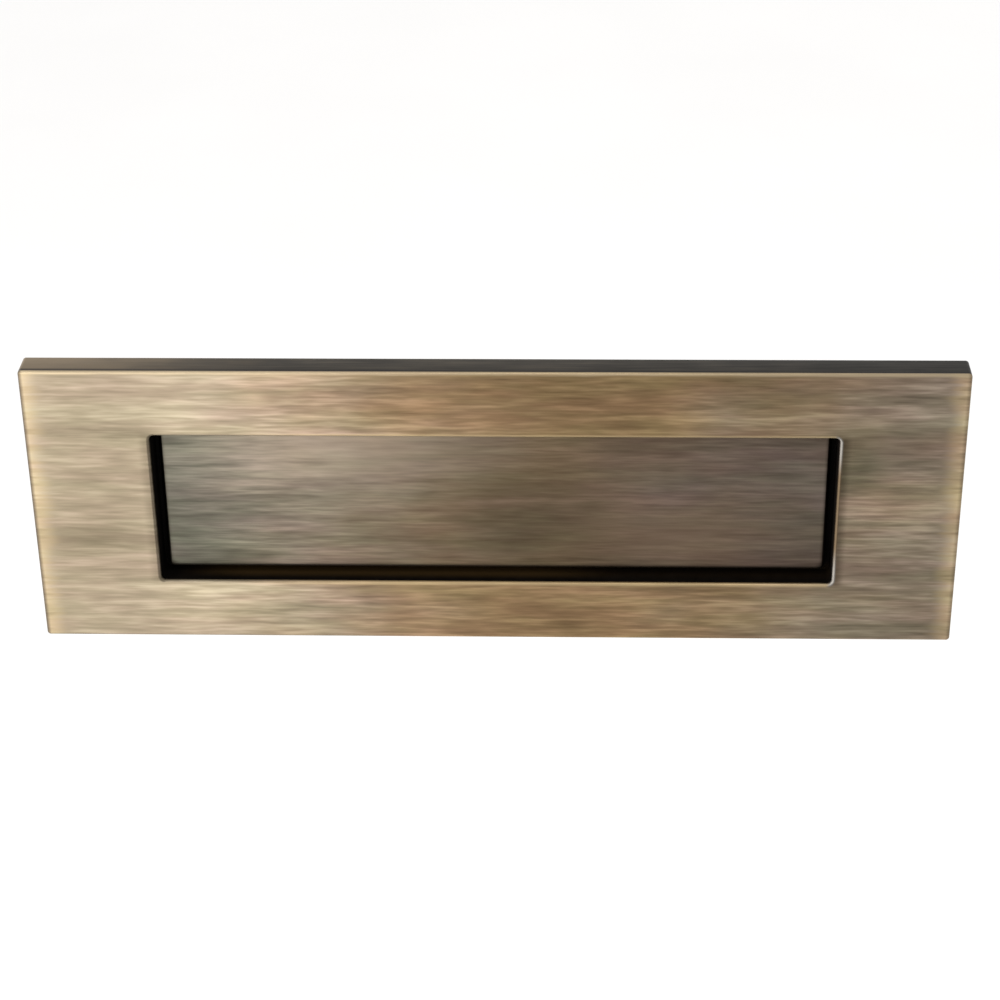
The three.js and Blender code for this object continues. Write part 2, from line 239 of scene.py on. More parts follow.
def combine(mesh, others, operation="UNION"):
    """Joins others to mesh, cuts them from it, or keeps what they share."""
    target = bpy.data.objects.new("target", mesh)
    bpy.context.scene.collection.objects.link(target)
    tools = []
    for other in others:
        tool = bpy.data.objects.new("tool", other)
        bpy.context.scene.collection.objects.link(tool)
        modifier = target.modifiers.new("cut", "BOOLEAN")
        modifier.operation = operation
        modifier.solver = "EXACT"
        modifier.object = tool
        tools.append(tool)
    depsgraph = bpy.context.evaluated_depsgraph_get()
    result = bpy.data.meshes.new_from_object(target.evaluated_get(depsgraph))
    for thing in [target, *tools]:
        bpy.data.objects.remove(thing)
    return result


def sweep(name, path, radius, sides):
    """A round wire along path, its ends drawn in a little."""
    end_size = 0.75
    rings = []
    tangent = (path[1] - path[0]).normalized()
    normal = tangent.orthogonal().normalized()
    for i, point in enumerate(path):
        ahead = path[min(i + 1, len(path) - 1)] - path[max(i - 1, 0)]
        turn = tangent.rotation_difference(ahead.normalized())
        tangent = ahead.normalized()
        normal = (turn @ normal).normalized()
        side = tangent.cross(normal)
        size = radius * (end_size if i in (0, len(path) - 1) else 1.0)
        rings.append([
            point + size * (math.cos(a) * normal + math.sin(a) * side)
            for a in (2 * math.pi * k / sides for k in range(sides))
        ])
    mesh = loft(name, rings)
    merge_doubles(mesh)
    return mesh


# ---- Materials ----


def srgb(red, green, blue):
    """A linear colour from 0 to 255 display values."""
    def linear(value):
        share = value / 255
        return share / 12.92 if share <= 0.04045 else ((share + 0.055) / 1.055) ** 2.4
    return (linear(red), linear(green), linear(blue), 1.0)


class Material:
    """A node material with a Principled shader and short calls for the nodes that feed it."""

    def __init__(self, name, **values):
        """values are shader sockets, with _ for a space in a socket's name."""
        self.material = bpy.data.materials.new(name)
        self.material.use_nodes = True
        self.nodes = self.material.node_tree.nodes
        self.links = self.material.node_tree.links
        self.shader = self.nodes["Principled BSDF"]
        for socket, value in values.items():
            self.shader.inputs[socket.replace("_", " ")].default_value = value
        coordinates = self.nodes.new("ShaderNodeTexCoord")
        self.point = coordinates.outputs["Object"]

    def feed(self, socket, value):
        """Links a node's output to socket, or sets socket to a plain value."""
        if isinstance(value, bpy.types.NodeSocket):
            self.links.new(value, socket)
        else:
            socket.default_value = value

    def stretch(self, x, y, z):
        """Object coordinates with this many repeats per metre along each axis."""
        node = self.nodes.new("ShaderNodeMapping")
        self.feed(node.inputs["Vector"], self.point)
        node.inputs["Scale"].default_value = (x, y, z)
        return node.outputs["Vector"]

    def noise(self, vector, detail=3.0, roughness=0.55, distortion=0.0):
        """Smooth noise about 0.5, whose cells are one unit of vector across."""
        node = self.nodes.new("ShaderNodeTexNoise")
        self.feed(node.inputs["Vector"], vector)
        node.inputs["Scale"].default_value = 1.0
        node.inputs["Detail"].default_value = detail
        node.inputs["Roughness"].default_value = roughness
        node.inputs["Distortion"].default_value = distortion
        return node.outputs["Fac"]

    def math(self, operation, *values):
        """One step of arithmetic on values."""
        node = self.nodes.new("ShaderNodeMath")
        node.operation = operation
        for socket, value in zip(node.inputs, values):
            self.feed(socket, value)
        return node.outputs["Value"]

    def spread(self, value, low, high, to_low=0.0, to_high=1.0):
        """value's range low to high, drawn smoothly onto to_low to to_high."""
        node = self.nodes.new("ShaderNodeMapRange")
        node.interpolation_type = "SMOOTHSTEP"
        for socket, number in zip(node.inputs, (value, low, high, to_low, to_high)):
            self.feed(socket, number)
        return node.outputs["Result"]

    def mix(self, share, first, second, blend="MIX"):
        """The colour first, with second mixed or multiplied into it by share."""
        node = self.nodes.new("ShaderNodeMix")
        node.data_type = "RGBA"
        node.blend_type = blend
        self.feed(node.inputs["Factor"], share)
        colours = [socket for socket in node.inputs if socket.type == "RGBA"]
        self.feed(colours[0], first)
        self.feed(colours[1], second)
        return next(socket for socket in node.outputs if socket.type == "RGBA")

    def ramp(self, value, *stops):
        """A colour from value, through stops of (position, colour)."""
        node = self.nodes.new("ShaderNodeValToRGB")
        self.feed(node.inputs["Fac"], value)
        elements = node.color_ramp.elements
        while len(elements) < len(stops):
            elements.new(0.5)
        for element, (position, colour) in zip(elements, stops):
            element.position = position
            element.color = colour
        return node.outputs["Color"]

    def axes(self):
        """Object coordinates along X, Y and Z."""
        node = self.nodes.new("ShaderNodeSeparateXYZ")
        self.feed(node.inputs["Vector"], self.point)
        return node.outputs["X"], node.outputs["Y"], node.outputs["Z"]

    def bump(self, height, distance, strength):
        """Tilts the shader's normal with a height, distance metres deep."""
        node = self.nodes.new("ShaderNodeBump")
        self.feed(node.inputs["Height"], height)
        node.inputs["Distance"].default_value = distance
        node.inputs["Strength"].default_value = strength
        self.links.new(node.outputs["Normal"], self.shader.inputs["Normal"])


def brushed_brass(name, dark, middle, light, roughness, gold_from, gold_share, wear_and_light_marks):
    """Antique brass with fine streaks along X, golder from gold_from to right of the middle, then given its
    worn marks, painted highlights and painted shade.
    """
    look = Material(name, Metallic=1.0, Anisotropic=0.85)
    x, _, _ = look.axes()
    broad = look.noise(look.stretch(9, 60, 170), detail=1.5, roughness=0.8)
    fine = look.noise(look.stretch(55, 100, 640), detail=1.5, roughness=0.78)
    hairlines = look.noise(look.stretch(220, 300, 2400), detail=2.0)
    blotches = look.noise(look.stretch(30, 60, 50), detail=2.0, distortion=0.3)
    tint = look.noise(look.stretch(24, 90, 50), detail=2.0)
    warmth = look.noise(look.stretch(26, 60, 150), detail=2.0)
    streaks = look.math("MULTIPLY_ADD", broad, 0.42, look.math("MULTIPLY", fine, 0.58))
    mixed = look.math("MULTIPLY_ADD", hairlines, 0.05, look.math("MULTIPLY", streaks, 0.75))
    mixed = look.math("MULTIPLY_ADD", blotches, 0.20, mixed)
    colour = look.ramp(mixed, (0.35, dark), (0.50, middle), (0.65, light))
    tone = look.ramp(warmth, (0.34, srgb(250, 255, 244)), (0.66, srgb(255, 248, 247)))
    colour = look.mix(1.0, colour, tone, "MULTIPLY")
    drift = look.math("MULTIPLY_ADD", look.math("SUBTRACT", tint, 0.5), 110 * MM, x)
    gold = look.math("MULTIPLY", look.spread(drift, gold_from, 15 * MM),
                     look.spread(drift, 150 * MM, 35 * MM))
    colour = look.mix(look.math("MULTIPLY", gold, gold_share), colour, srgb(255, 233, 196), "MULTIPLY")
    colour = wear_and_light_marks(look, colour, streaks)
    look.feed(look.shader.inputs["Base Color"], colour)
    gloss_drift = 0.02
    gloss = look.spread(mixed, 0.4, 0.6, roughness + gloss_drift, roughness - gloss_drift)
    look.feed(look.shader.inputs["Roughness"], gloss)
    look.bump(look.math("MULTIPLY_ADD", hairlines, 0.4, fine), 0.04 * MM, 0.3)
    tangent = look.nodes.new("ShaderNodeTangent")
    tangent.direction_type = "RADIAL"
    tangent.axis = "X"
    look.links.new(tangent.outputs["Tangent"], look.shader.inputs["Tangent"])
    return look.material


def patch(look, feather, centre, radii, inner, share):
    """A soft oval patch on the front, its edge feathered along the streaks."""
    x, _, z = look.axes()
    dx = look.math("DIVIDE", look.math("SUBTRACT", x, centre[0]), radii[0])
    dz = look.math("DIVIDE", look.math("SUBTRACT", z, centre[1]), radii[1])
    reach = look.math("SQRT", look.math("MULTIPLY_ADD", dx, dx, look.math("MULTIPLY", dz, dz)))
    return look.spread(look.math("MULTIPLY_ADD", feather, -0.8, reach), inner, 1.1, share, 0.0)


# Duller spots on the plate: centre x and z, reach along x and z, all in millimetres, and strength.
DULL_SPOTS = (
    (-130, -15, 24, 15, 0.8),
    (-74, -42, 26, 12, 0.8),
    (-54, 40, 40, 16, 0.45),
    (22, 40, 34, 16, 0.55),
    (16, -42, 28, 12, 0.5),
)


def rounded_gap(look, beside, above, corner):
    """Distance outside a rectangle with rounded corners, from the distances past its sides and ends."""
    past_side = look.math("MAXIMUM", look.math("ADD", beside, corner), 0.0)
    past_end = look.math("MAXIMUM", look.math("ADD", above, corner), 0.0)
    squared = look.math("MULTIPLY_ADD", past_side, past_side, look.math("MULTIPLY", past_end, past_end))
    return look.math("SUBTRACT", look.math("SQRT", squared), corner)


def plate_tones(look, colour, feather):
    """Dull left end, duller spots, brighter lower rail, tarnish beside the opening and a rubbed right end."""
    x, _, z = look.axes()
    colour = look.mix(look.spread(x, -45 * MM, -115 * MM, 0.0, 0.42), colour, srgb(120, 110, 90))
    dull_end = look.spread(x, -98 * MM, -125 * MM, 0.0, 0.6)
    colour = look.mix(dull_end, colour, srgb(222, 222, 222), "MULTIPLY")
    for centre_x, centre_z, reach_x, reach_z, share in DULL_SPOTS:
        dull = patch(look, feather, (centre_x * MM, centre_z * MM), (reach_x * MM, reach_z * MM), 0.2, share)
        colour = look.mix(dull, colour, srgb(222, 222, 218), "MULTIPLY")
    lower_rail = look.spread(z, OPENING_LOW - 1 * MM, OPENING_LOW - 9 * MM)
    lower_rail = look.math("MULTIPLY", lower_rail, look.spread(x, 25 * MM, 55 * MM))
    lower_rail = look.math("MULTIPLY", lower_rail, look.spread(x, 125 * MM, 95 * MM))
    colour = look.mix(lower_rail, colour, (1.1, 1.1, 1.09, 1.0), "MULTIPLY")
    tarnish = patch(look, feather, (OPENING_HALF + 5 * MM, 17 * MM), (13 * MM, 16 * MM), 0.2, 0.6)
    colour = look.mix(tarnish, colour, srgb(168, 178, 168), "MULTIPLY")
    rubbed = patch(look, feather, (132 * MM, 4 * MM), (30 * MM, 12 * MM), 0.2, 0.7)
    return look.mix(rubbed, colour, (1.35, 1.28, 1.16, 1.0), "MULTIPLY")


def opening_wear_and_painted_highlights(look, colour):
    """Tarnish beside the opening; a golden line on the rails' rims, worn brass with a painted highlight; and
    a painted highlight on the right rim, brown along its middle with paler painted glints at its ends.
    """
    x, _, z = look.axes()
    beside = look.math("SUBTRACT", look.math("ABSOLUTE", x), OPENING_HALF)
    from_middle = look.math("ABSOLUTE", look.math("SUBTRACT", z, OPENING_MIDDLE))
    above = look.math("SUBTRACT", from_middle, OPENING_REACH)
    away = rounded_gap(look, beside, above, OPENING_CORNER)
    right_side = look.spread(x, OPENING_HALF - 2 * MM, OPENING_HALF)
    shade = look.math("MULTIPLY", look.spread(beside, 1.1 * MM, 4.4 * MM, 0.7, 0.0),
                      look.spread(above, 2 * MM, -1 * MM))
    shade = look.math("MULTIPLY", shade, look.spread(beside, -1 * MM, 0.0))
    shade = look.math("MULTIPLY", shade, look.spread(x, -OPENING_HALF, OPENING_HALF, 0.5, 1.0))
    colour = look.mix(shade, colour, srgb(150, 146, 140), "MULTIPLY")
    # Painted highlights on the rounded rim: a golden line of worn brass and painted highlight along the
    # rails, and on the right rim a painted highlight, brown in the middle with paler painted glints towards
    # the ends.
    rim = look.spread(away, 0.7 * MM, 1.4 * MM, 1.0, 0.0)
    golden = look.math("MULTIPLY", rim, look.spread(x, -95 * MM, -45 * MM, 0.0, 0.45))
    golden = look.math("MULTIPLY", golden, look.math("SUBTRACT", 1.0, right_side))
    colour = look.mix(golden, colour, srgb(182, 162, 124))
    right_rim_painted_highlight = look.mix(look.spread(above, -15 * MM, -4 * MM), srgb(84, 71, 55), srgb(114, 111, 107))
    return look.mix(look.math("MULTIPLY", rim, right_side), colour, right_rim_painted_highlight)


def edge_wear_and_painted_shading(look, colour, feather):
    """Pale worn strips at both ends, a pale line along the top of worn brass with a painted highlight, and a
    thin line of painted shade down each end's arris.
    """
    x, _, z = look.axes()
    ends = look.math("SUBTRACT", PLATE_HALF, look.math("ABSOLUTE", x))
    strip = look.spread(look.math("MULTIPLY_ADD", feather, 18 * MM, ends), 0.6 * MM, 7.5 * MM, 1.0, 0.0)
    strip = look.math("MULTIPLY", strip, look.spread(x, -PLATE_HALF, PLATE_HALF, 0.45, 0.85))
    colour = look.mix(strip, colour, (2.05, 1.95, 1.62, 1.0), "MULTIPLY")
    # Along the top: worn brass with a painted highlight on the arris.
    edge = look.math("MULTIPLY_ADD", feather, 3 * MM, look.math("SUBTRACT", PLATE_TOP, z))
    colour = look.mix(look.spread(edge, 0.3 * MM, 1.3 * MM, 0.55, 0.0), colour, srgb(184, 167, 138))
    # Painted shade on the arris down each end, darker at the left.
    end_arris_painted_shade = look.math("MULTIPLY", look.spread(ends, 0.4 * MM, 1.7 * MM, 1.0, 0.0),
                         look.spread(x, -PLATE_HALF, PLATE_HALF, 0.75, 0.4))
    return look.mix(end_arris_painted_shade, colour, srgb(58, 50, 44))


def plate_wear_and_painted_light(look, colour, streaks):
    """All the worn and tarnished brass, painted highlights and painted shade on the plate's face, its edges
    feathered along the streaks.
    """
    feather = look.math("SUBTRACT", streaks, 0.5)
    colour = plate_tones(look, colour, feather)
    colour = opening_wear_and_painted_highlights(look, colour)
    return edge_wear_and_painted_shading(look, colour, feather)


def flap_wear_and_painted_shade(look, colour, streaks):
    """A grey-green left end, pale, golden and cool patches, a cooler right half and painted shade along its
    sides and bottom edge, where the pad sits in the recess.
    """
    x, _, z = look.axes()
    feather = look.math("SUBTRACT", streaks, 0.5)
    left_end = look.math("MULTIPLY_ADD", feather, 40 * MM, x)
    grey = look.spread(left_end, -PAD_HALF, -PAD_HALF + 60 * MM, 0.9, 0.0)
    colour = look.mix(grey, colour, srgb(184, 197, 199), "MULTIPLY")
    pushed = patch(look, feather, (-44 * MM, 26 * MM), (70 * MM, 34 * MM), 0.1, 0.38)
    colour = look.mix(pushed, colour, srgb(142, 131, 117))
    golden = patch(look, feather, (60 * MM, -13 * MM), (46 * MM, 16 * MM), 0.2, 0.4)
    colour = look.mix(golden, colour, srgb(122, 103, 78))
    cool = patch(look, feather, (10 * MM, -6 * MM), (34 * MM, 20 * MM), 0.2, 0.8)
    colour = look.mix(cool, colour, srgb(218, 220, 228), "MULTIPLY")
    colour = look.mix(look.spread(x, 15 * MM, 50 * MM), colour, (0.94, 0.94, 1.1, 1.0), "MULTIPLY")
    colour = look.mix(look.spread(x, 75 * MM, 112 * MM), colour, srgb(238, 236, 228), "MULTIPLY")
    # Painted shade along the pad's sides and bottom, darkest at the edge, where it sits down in the opening.
    beside = look.math("SUBTRACT", look.math("ABSOLUTE", x), PAD_HALF)
    below = look.math("SUBTRACT", PAD_LOW, z)
    gap = rounded_gap(look, beside, below, 2 * PAD_CORNER)
    return look.mix(look.spread(gap, -0.2 * MM, -2.4 * MM, 0.92, 0.0), colour, srgb(30, 26, 22))


def recess_patina():
    """Unbrushed metal left under its dark patina, mottled, and browner on the opening's lower wall."""
    look = Material("recess_black_patina", Metallic=0.0, Specular_IOR_Level=0.05)
    mottle = look.noise(look.stretch(260, 260, 260), detail=4.0)
    grain = look.noise(look.stretch(2200, 2200, 2200), detail=2.0)
    shade = srgb(10, 7, 5)
    darker = tuple(value * 0.6 for value in shade[:3]) + (1.0,)
    x, y, z = look.axes()
    colour = look.ramp(mottle, (0.35, darker), (0.65, shade))
    brown = look.math("MULTIPLY", look.spread(y, FRONT + 2 * MM, PAD_FRONT + 1.5 * MM, 0.0, 0.6),
                      look.spread(z, OPENING_LOW + 3 * MM, OPENING_LOW + 1 * MM))
    brown = look.math("MULTIPLY", brown, look.spread(x, -110 * MM, -80 * MM))
    brown = look.math("MULTIPLY", brown, look.spread(x, 45 * MM, 10 * MM, 0.15, 1.0))
    colour = look.mix(brown, colour, srgb(58, 43, 21))
    look.feed(look.shader.inputs["Base Color"], colour)
    look.feed(look.shader.inputs["Roughness"], look.spread(mottle, 0.3, 0.7, 0.6, 0.72))
    look.bump(grain, 0.02 * MM, 0.4)
    return look.material


def plate_edge():
    """The plate's outer sides: dark patina with painted shade, darkest just behind the front edge; lighter
    brown at the left end, partly rubbed brass and partly painted light; greyer and darker towards the right,
    painted shade.
    """
    look = Material("plate_side_patina_and_painted_light", Metallic=0.7, Specular_IOR_Level=0.3)
    x, y, _ = look.axes()
    streaks = look.noise(look.stretch(40, 900, 300), detail=3.0)
    mottle = look.noise(look.stretch(60, 120, 120), detail=2.0)
    mixed = look.math("MULTIPLY_ADD", streaks, 0.6, look.math("MULTIPLY", mottle, 0.4))
    colour = look.ramp(mixed, (0.35, srgb(44, 40, 34)), (0.5, srgb(54, 49, 41)), (0.65, srgb(66, 59, 48)))
    # Lighter brown at the left end: partly rubbed brass, partly painted light.
    left = look.math("MULTIPLY_ADD", look.math("SUBTRACT", mottle, 0.5), 60 * MM, x)
    colour = look.mix(look.spread(left, -70 * MM, -150 * MM, 0.0, 0.95), colour, srgb(120, 106, 86))
    # Painted shade: greyer and darker towards the right.
    colour = look.mix(look.spread(x, -20 * MM, 150 * MM), colour, srgb(184, 187, 191), "MULTIPLY")
    # Painted shade: darker towards the front, and darkest just behind the front edge.
    colour = look.mix(look.spread(y, BACK, FRONT + 3 * MM, 0.0, 0.5), colour, srgb(200, 198, 195), "MULTIPLY")
    colour = look.mix(look.spread(y, FRONT + 1.2 * MM, FRONT + 2.8 * MM, 0.9, 0.0), colour, srgb(24, 18, 14))
    look.feed(look.shader.inputs["Base Color"], colour)
    look.feed(look.shader.inputs["Roughness"], look.spread(mixed, 0.3, 0.7, 0.52, 0.42))
    look.bump(streaks, 0.03 * MM, 0.4)
    return look.material


def cast_back():
    """The rough back of a sand casting: dull brown brass with a pitted skin."""
    look = Material("cast_brass_back", Metallic=0.8)
    pits = look.noise(look.stretch(700, 700, 700), detail=5.0, roughness=0.65)
    stains = look.noise(look.stretch(45, 45, 45), detail=4.0, distortion=0.6)
    colour = look.ramp(stains, (0.3, srgb(74, 60, 42)), (0.5, srgb(120, 98, 64)), (0.7, srgb(152, 126, 82)))
    colour = look.mix(look.spread(pits, 0.5, 0.3, 0.0, 0.7), colour, srgb(46, 38, 28))
    look.feed(look.shader.inputs["Base Color"], colour)
    look.feed(look.shader.inputs["Roughness"], look.spread(stains, 0.3, 0.7, 0.62, 0.48))
    look.bump(pits, 0.15 * MM, 0.7)
    return look.material


def turned_metal(name, dark, light, roughness):
    """Machined or drawn metal with fine tool marks and slight tarnish."""
    look = Material(name, Metallic=1.0)
    marks = look.noise(look.stretch(1500, 1500, 225), detail=3.0)
    tarnish = look.noise(look.stretch(180, 180, 180), detail=4.0)
    share = look.math("MULTIPLY_ADD", marks, 0.35, look.math("MULTIPLY", tarnish, 0.65))
    look.feed(look.shader.inputs["Base Color"], look.ramp(share, (0.35, dark), (0.65, light)))
    look.feed(look.shader.inputs["Roughness"], look.spread(share, 0.35, 0.65, roughness + 0.12, roughness))
    look.bump(marks, 0.01 * MM, 0.4)
    return look.material


def moulded(name, dark, light, roughness):
    """Nylon or rubber with a fine moulded grain and faint colour drift."""
    look = Material(name, Metallic=0.0)
    grain = look.noise(look.stretch(3000, 3000, 3000), detail=2.0)
    drift = look.noise(look.stretch(150, 150, 150), detail=3.0)
    look.feed(look.shader.inputs["Base Color"], look.ramp(drift, (0.3, dark), (0.7, light)))
    look.feed(look.shader.inputs["Roughness"], look.spread(grain, 0.3, 0.7, roughness, roughness + 0.1))
    look.bump(grain, 0.02 * MM, 0.5)
    return look.material


plate_brass = brushed_brass(
    "plate_brushed_brass", srgb(99, 89, 78), srgb(129, 117, 104), srgb(164, 151, 137),
    roughness=0.36, gold_from=-110 * MM, gold_share=0.95, wear_and_light_marks=plate_wear_and_painted_light)
flap_brass = brushed_brass(
    "flap_brushed_brass", srgb(85, 77, 69), srgb(102, 94, 85), srgb(122, 113, 103),
    roughness=0.38, gold_from=-95 * MM, gold_share=0.75, wear_and_light_marks=flap_wear_and_painted_shade)
side_patina_and_painted_light = plate_edge()
recess_black = recess_patina()
cast_brass = cast_back()
zinc = turned_metal("zinc_plated_steel", srgb(168, 170, 172), srgb(206, 208, 208), 0.26)
spring_wire = turned_metal("oiled_spring_steel", srgb(92, 94, 98), srgb(136, 138, 142), 0.28)
nut_brass = turned_metal("satin_brass_nut", srgb(150, 122, 78), srgb(190, 160, 106), 0.3)
nylon = moulded("natural_nylon", srgb(214, 208, 190), srgb(232, 228, 214), 0.42)
rubber = moulded("black_rubber", srgb(20, 20, 21), srgb(34, 34, 35), 0.7)

# ---- Pieces ----


def place(node, mesh, materials, sort_face=None, smooth=35.0):
    """Puts a finished mesh with its materials in place of a CAD node."""
    mesh.materials.clear()
    for material in materials:
        mesh.materials.append(material)
    for face in mesh.polygons:
        face.material_index = sort_face(face) if sort_face else 0
    mesh.shade_smooth()
    mesh.set_sharp_from_angle(angle=math.radians(smooth))
    piece = bpy.data.objects.new(node + "_detailed", mesh)
    bpy.context.scene.collection.objects.link(piece)
    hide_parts(node)
    return piece


# Outlines as half width, low, high and corner radius. SUPPORT is how far a flat face's first ring is set in.
PLATE_SHAPE = (PLATE_HALF, -PLATE_TOP, PLATE_TOP, PLATE_CORNER)
HOLLOW_SHAPE = (PLATE_HALF - RIM_WALL, -PLATE_TOP + RIM_WALL, PLATE_TOP - RIM_WALL, HOLLOW_CORNER)
OPENING_SHAPE = (OPENING_HALF, OPENING_LOW, OPENING_HIGH, OPENING_CORNER)
PAD_SHAPE = (PAD_HALF, PAD_LOW, PAD_HIGH, PAD_CORNER)
FLANGE_SHAPE = (flap_high.x, flap_low.z, FLANGE_TOP, FLANGE_CORNER)
SUPPORT = 0.3 * MM


def plate_shell():
    """The plate as one closed band: outer side, rounded arris, face, rounded rim, collar and hollow back."""
    rings = [ring_at(BACK, PLATE_SHAPE)]
    rings += [ring_at(y, PLATE_SHAPE, grow) for y, grow in reversed(quarter_round(FRONT, ARRIS, False))]
    rings.append(ring_at(FRONT, PLATE_SHAPE, -ARRIS - SUPPORT))
    rings.append(ring_at(FRONT, OPENING_SHAPE, OPENING_RIM + SUPPORT))
    rings += [ring_at(y, OPENING_SHAPE, grow) for y, grow in quarter_round(FRONT, OPENING_RIM, True)]
    rings.append(ring_at(BACK, OPENING_SHAPE))
    rings.append(ring_at(BACK, OPENING_SHAPE, COLLAR_WALL))
    rings.append(ring_at(FACE_BACK, OPENING_SHAPE, COLLAR_WALL))
    rings.append(ring_at(FACE_BACK, HOLLOW_SHAPE))
    rings.append(ring_at(BACK, HOLLOW_SHAPE))
    mesh = loft("face_plate", rings, "loop")
    merge_doubles(mesh)
    return mesh


PLATE_ROOT = FACE_BACK - 0.5 * MM
PLATE_RIB_BACK = -2 * MM


def rail_ribs():
    """Upright ribs across the rails above and below the opening."""
    ribs = []
    for x in (-PLATE_RIB_X, 0.0, PLATE_RIB_X):
        for low, high in ((OPENING_HIGH + MM, PLATE_TOP - MM), (-PLATE_TOP + MM, OPENING_LOW - MM)):
            ribs.append(block((x - RIB_HALF, PLATE_ROOT, low), (x + RIB_HALF, PLATE_RIB_BACK, high)))
    return ribs


def end_ribs(side):
    """Two level ribs between the opening's collar and one end of the plate."""
    low, high = sorted((side * (OPENING_HALF + COLLAR_WALL - MM), side * (PLATE_HALF - MM)))
    return [block((low, PLATE_ROOT, z - RIB_HALF), (high, PLATE_RIB_BACK, z + RIB_HALF))
            for z in (-SIDE_RIB_Z, SIDE_RIB_Z)]


def plate_extras():
    """Ribs, stud bosses and hinge lugs that stand on the back of the face."""
    chamfer, foot, foot_height = 0.3 * MM, 0.7 * MM, 1.2 * MM
    extras = rail_ribs()
    for side in (-1, 1):
        extras += end_ribs(side)
        boss = [(0, PLATE_ROOT), (BOSS_RADIUS + foot, PLATE_ROOT), (BOSS_RADIUS, PLATE_ROOT + foot_height),
                (BOSS_RADIUS, BOSS_FACE - chamfer), (BOSS_RADIUS - chamfer, BOSS_FACE), (0, BOSS_FACE)]
        extras.append(lathe("boss", boss, (side * STUD_X, 0, 0)))
        low, high = sorted((side * LUG_INNER, side * LUG_OUTER))
        eye = arc((HINGE.y, HINGE.z), EYE_RADIUS, -90, 90, 20)
        web = [(PLATE_ROOT, HINGE.z + EYE_RADIUS), (PLATE_ROOT, HINGE.z - EYE_RADIUS)]
        extras.append(prism_x("lug", web + eye, low, high))
    return extras


def bore_x(radius, low, high):
    """A cylinder on the hinge line that cuts a bore from low to high."""
    return lathe("bore", [(0, low), (radius, low), (radius, high), (0, high)], (0, HINGE.y, HINGE.z), "X")


def plate_cuts():
    """The holes that the studs screw into, and the rod's bores through the lugs."""
    bottom, mouth = BOSS_FACE - 5 * MM, BOSS_FACE + 0.1 * MM
    hole = [(0, bottom), (STUD_HOLE, bottom), (STUD_HOLE, BOSS_FACE - 0.4 * MM),
            (STUD_RADIUS + 0.6 * MM, mouth), (0, mouth)]
    cuts = []
    for side in (-1, 1):
        cuts.append(lathe("hole", hole, (side * STUD_X, 0, 0)))
        low, high = sorted((side * (LUG_INNER - MM), side * (LUG_OUTER + MM)))
        cuts.append(bore_x(ROD_BORE, low, high))
    return cuts


def sort_plate_face(face):
    """0 brushed front, 1 outer side, 2 wall of the opening, 3 cast back."""
    centre = face.center
    if centre.y < FRONT + 1.2 * MM and face.normal.y < -0.02:
        return 0
    from_end, from_top = PLATE_HALF - abs(centre.x), PLATE_TOP - abs(centre.z)
    on_side = min(from_end, from_top) < 0.05 * MM
    if on_side or max(from_end, from_top) < PLATE_CORNER:
        return 1
    beside, above = abs(centre.x) - OPENING_HALF, abs(centre.z - OPENING_MIDDLE) - OPENING_REACH
    return 2 if max(beside, above) < 0.1 * MM and centre.y < BACK else 3


def face_plate():
    """The cast plate, its face brushed and the rest left dark or rough."""
    mesh = combine(plate_shell(), plate_extras())
    mesh = combine(mesh, plate_cuts(), "DIFFERENCE")
    merge_doubles(mesh)
    return place("face_plate", mesh, [plate_brass, side_patina_and_painted_light, recess_black, cast_brass], sort_plate_face)


def flap_dish():
    """The pad with rounded front edges, dished behind, with the flange round its back."""
    rings = [ring_at(PAD_FRONT, PAD_SHAPE, -PAD_EDGE - SUPPORT)]
    rings += [ring_at(y, PAD_SHAPE, grow) for y, grow in quarter_round(PAD_FRONT, PAD_EDGE, False, 8)]
    rings.append(ring_at(FLANGE_FRONT, PAD_SHAPE))
    rings.append(ring_at(FLANGE_FRONT, FLANGE_SHAPE))
    rings.append(ring_at(FLANGE_BACK, FLANGE_SHAPE))
    rings.append(ring_at(FLANGE_BACK, PAD_SHAPE, -PAD_WALL))
    rings.append(ring_at(PAD_FRONT + PAD_WALL, PAD_SHAPE, -PAD_WALL))
    mesh = loft("flap", rings)
    merge_doubles(mesh)
    return mesh


def flap_extras():
    """The strip under the hinge, the knuckles and the two ribs that the springs press on."""
    strip_half = END_KNUCKLE + KNUCKLE_HALF + 0.2 * MM
    extras = [block((-strip_half, FLANGE_FRONT, HINGE.z - 8 * MM), (strip_half, FLANGE_BACK, HINGE.z))]
    knuckle = arc((HINGE.y, HINGE.z), EYE_RADIUS, 155, -100, 36)
    knuckle += [(FLANGE_BACK - 0.3 * MM, HINGE.z - 8.2 * MM), (FLANGE_BACK - 0.3 * MM, HINGE.z)]
    for side in (-1, 1):
        for middle in (END_KNUCKLE, INNER_KNUCKLE):
            low, high = side * middle - KNUCKLE_HALF, side * middle + KNUCKLE_HALF
            extras.append(prism_x("knuckle", knuckle, low, high))
        low, high = side * SPRING_INNER - RIB_HALF, side * SPRING_INNER + RIB_HALF
        extras.append(block((low, PAD_FRONT + MM, PAD_LOW + MM), (high, FLANGE_BACK, PAD_HIGH - MM)))
    return extras


